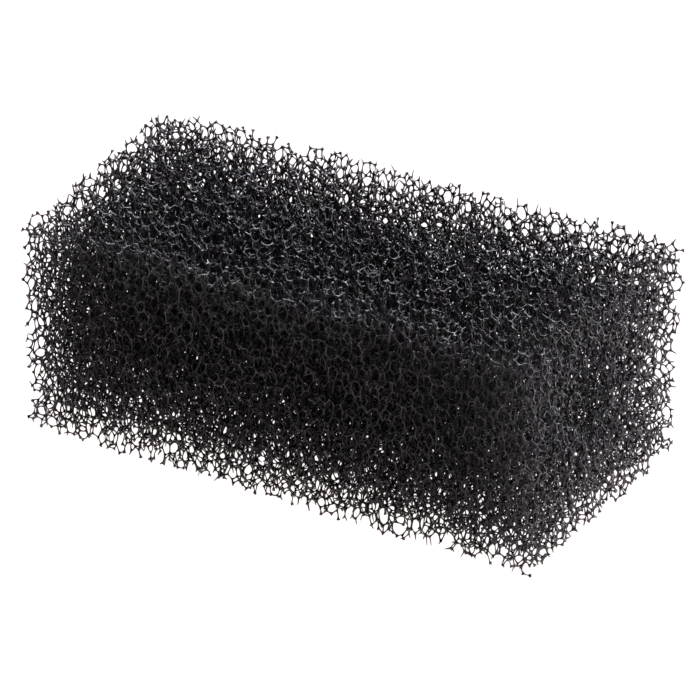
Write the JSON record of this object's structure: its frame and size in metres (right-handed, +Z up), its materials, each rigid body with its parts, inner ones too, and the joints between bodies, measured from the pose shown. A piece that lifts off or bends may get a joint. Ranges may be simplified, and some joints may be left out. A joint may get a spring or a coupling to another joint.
{
  "type": "sponge filter",
  "caption": "Rectangular block of coarse black open-cell foam with a slit in one end that pushes onto an aquarium or pond filter intake.",
  "frame": {"origin": "middle of the block's bottom face", "axes": "+X along the block towards the end with the slit, +Y across it, +Z up"},
  "size_m": [0.125, 0.06, 0.05],
  "materials": {
    "filter_foam": "black reticulated polyurethane foam, matte with a soft sheen on the strands"
  },
  "bodies": {
    "root": {"foam_block": "filter_foam"}
  },
  "joints": []
}
